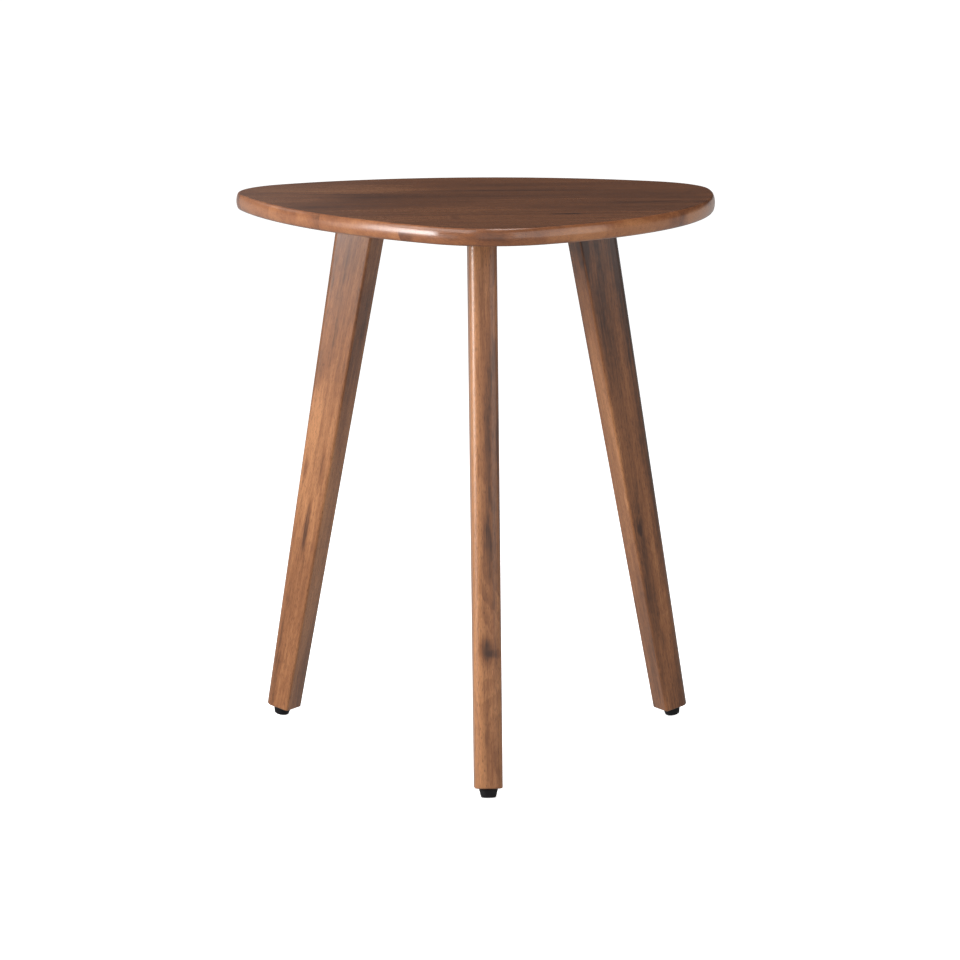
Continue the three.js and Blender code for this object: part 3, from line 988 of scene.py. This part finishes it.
def make_glide(side):
    """The moulded foot, closed round the head of its stud."""
    foot = [
        (GLIDE_FOOT_RADIUS - inset, GLIDE_FOOT + rise)
        for inset, rise in round_steps(GLIDE_FOOT_ROUND, ARRIS_FACETS)
    ]
    rim = [
        (GLIDE_TOP_RADIUS - inset, GLIDE_TOP - drop)
        for inset, drop in reversed(round_steps(GLIDE_TOP_ROUND, ARRIS_FACETS))
    ]
    hole, pocket = STUD_RADIUS + HEAD, STUD_HEAD_RADIUS + HEAD
    pocket_foot, pocket_top = STUD_FOOT - HEAD, STUD_FOOT + STUD_HEAD_THICKNESS + HEAD
    inside = [(hole, GLIDE_TOP), (hole, pocket_top), (pocket, pocket_top), (pocket, pocket_foot)]
    glide = turned(foot + rim + inside).build(f"{side}_foot_glide_looks", leg_frame(side))
    finished(glide, f"{side}_glide", f"{side}_foot_glide", PLASTIC)


def make_stud(side):
    """A stud with a real thread above its moulded-in head."""
    shell = Shell()
    head_top = STUD_FOOT + STUD_HEAD_THICKNESS
    root = STUD_RADIUS - THREAD_DEPTH
    plain = [
        (STUD_HEAD_RADIUS, STUD_FOOT),
        (STUD_HEAD_RADIUS, head_top),
        (STUD_RADIUS, head_top),
        (STUD_RADIUS, 0.0),
    ]
    rings = [shell.level(circle(radius, TURNED_FACETS), height) for radius, height in plain]
    start, end = THREAD_PITCH / 2, STUD_LENGTH - STUD_CHAMFER
    steps = round((end - start) / THREAD_PITCH * THREAD_STEPS)
    for step in range(steps + 1):
        height = start + (end - start) * step / steps
        points = []
        for i in range(TURNED_FACETS):
            phase = (height / THREAD_PITCH - i / TURNED_FACETS) % 1.0
            crest = min(1.0, THREAD_FLANK * abs(phase - 0.5))
            points.append(polar(root + THREAD_DEPTH * crest, FULL * i / TURNED_FACETS))
        rings.append(shell.level(points, height))
    rings.append(shell.level(circle(root - STUD_CHAMFER / 2, TURNED_FACETS), STUD_LENGTH))
    shell.bridge(rings)
    shell.cap(rings[0])
    shell.cap(rings[-1])
    stud = shell.build(f"{side}_foot_stud_looks", leg_frame(side))
    finished(stud, f"{side}_stud", f"{side}_foot_stud", ZINC)


make_top()
for side in SIDES:
    make_leg(side)
    make_plate(side)
    for number, place in enumerate(bolt_places(), 1):
        make_bolt(side, number, place)
    make_glide(side)
    make_stud(side)

# The hidden inserts and screws keep their CAD shapes.
hidden = {"insert": INSERT_STEEL, "leg_screw": ZINC}
for name, node in frame["nodes"].items():
    for part, material in hidden.items():
        if part in name:
            node.data.materials.clear()
            node.data.materials.append(material)


# Stage: floor, studio light and camera

FLOOR_RADIUS = 40.0
FLOOR_ROUGHNESS = 0.9
FLOOR_GLOW = 1.0
FLOOR_CLOUDS = 0.7
FLOOR_TONES = [(0.90, 0.90, 0.90), (0.93, 0.93, 0.93)]
SKY_RIGHT = (0.03, 0.03, 0.031)
SKY_LEFT = (0.14, 0.14, 0.143)
SKY_MIDDLE = 0.02
SKY_BLUR = 0.03
GROUND = (0.38, 0.38, 0.38)
HORIZON_BLUR = 0.05

# The soft lights: the bearing in degrees from the front towards the right, the distance and
# height of the middle, the width and height, and the power in watts.
LIGHTS = {
    "key": (-76.5, 2.2, 0.74, (0.6, 0.55), 11),
    "key_halo": (-80, 2.2, 0.75, (1.1, 0.75), 18),
    "high_wash": (-60, 2.3, 2.0, (3.2, 1.3), 40),
    "low_wash": (-75, 2.4, 0.4, (3.0, 0.8), 7),
    "front": (4, 2.6, 0.8, (2.4, 1.5), 7),
    "front_high": (4, 2.0, 2.4, (0.9, 0.6), 6),
    "fill": (50, 2.2, 0.85, (2.6, 1.2), 16),
    "back": (-130, 2.4, 1.3, (0.9, 0.7), 1.4),
    "overhead": (90, 0.3, 2.6, (1.2, 0.7), 18),
}
LIGHT_AIM = 0.35  # the height that they all point at


def floor():
    """A plain pale floor that fills the picture, bright enough to read as white."""
    shell = Shell()
    shell.cap(shell.level(circle(FLOOR_RADIUS, TURNED_FACETS), 0.0))
    shader = Shader("pale_floor", Roughness=FLOOR_ROUGHNESS, Emission_Strength=FLOOR_GLOW)
    shade = shader.noise(shader.place(), [FLOOR_CLOUDS] * 3)
    pale = shader.ramp(shade, NOISE_RANGE, FLOOR_TONES)
    shader.feed(shader.surface.inputs["Base Color"], pale)
    shader.surface.inputs["Emission Color"].default_value = (1, 1, 1, 1)
    ground = shell.build("floor")
    ground.data.materials.append(shader.material)
    ground.visible_diffuse = False
    ground.visible_glossy = False


def studio():
    """The room round the table: dim above, less so on the left, and a lighter floor below."""
    world = bpy.data.worlds.new("studio")
    world.use_nodes = True
    tree = world.node_tree
    place = tree.nodes.new("ShaderNodeTexCoord")
    axes = tree.nodes.new("ShaderNodeSeparateXYZ")
    tree.links.new(place.outputs["Generated"], axes.inputs["Vector"])

    sky = tree.nodes.new("ShaderNodeValToRGB")
    left, right = sky.color_ramp.elements
    left.position, left.color = SKY_MIDDLE + 0.5 - SKY_BLUR, (*SKY_LEFT, 1)
    right.position, right.color = SKY_MIDDLE + 0.5 + SKY_BLUR, (*SKY_RIGHT, 1)
    sideways = tree.nodes.new("ShaderNodeMath")
    sideways.operation = "ADD"
    sideways.inputs[1].default_value = 0.5
    tree.links.new(axes.outputs["X"], sideways.inputs[0])
    tree.links.new(sideways.outputs["Value"], sky.inputs["Fac"])

    height = tree.nodes.new("ShaderNodeMapRange")
    height.inputs["From Max"].default_value = HORIZON_BLUR
    tree.links.new(axes.outputs["Z"], height.inputs["Value"])
    room = tree.nodes.new("ShaderNodeMix")
    room.data_type = "RGBA"
    room.inputs["A"].default_value = (*GROUND, 1)
    tree.links.new(height.outputs["Result"], room.inputs["Factor"])
    tree.links.new(sky.outputs["Color"], room.inputs["B"])
    tree.links.new(room.outputs["Result"], tree.nodes["Background"].inputs["Color"])
    return world


def softbox(name, bearing_degrees, distance, height, size, power):
    """A soft area light round the table, which the camera itself doesn't see."""
    data = bpy.data.lights.new(name, "AREA")
    data.shape = "RECTANGLE"
    data.size, data.size_y = size
    data.energy = power
    light = bpy.data.objects.new(name, data)
    light.visible_camera = False
    angle = math.radians(bearing_degrees)
    light.location = (distance * math.sin(angle), -distance * math.cos(angle), height)
    towards = Vector((0, 0, LIGHT_AIM)) - light.location
    light.rotation_euler = towards.to_track_quat("-Z", "Y").to_euler()
    bpy.context.collection.objects.link(light)


floor()
for name, settings in LIGHTS.items():
    softbox(name, *settings)

scene = bpy.context.scene
scene.world = studio()
scene.view_settings.view_transform = "Standard"

CAMERA_PLACE = (-0.28925, -4.16455, 1.00444)
CAMERA_YAW = 3.942
CAMERA_PITCH = 9.887
CAMERA_ROLL = -0.074
LENS = 156.78
SENSOR = 36.0

camera_data = bpy.data.cameras.new("camera")
camera_data.lens = LENS
camera_data.sensor_width = SENSOR
camera = bpy.data.objects.new("camera", camera_data)
camera.matrix_world = (
    Matrix.Translation(CAMERA_PLACE)
    @ Matrix.Rotation(math.radians(-CAMERA_YAW), 4, "Z")
    @ Matrix.Rotation(math.radians(90 - CAMERA_PITCH), 4, "X")
    @ Matrix.Rotation(math.radians(CAMERA_ROLL), 4, "Z")
)
bpy.context.collection.objects.link(camera)
scene.camera = camera
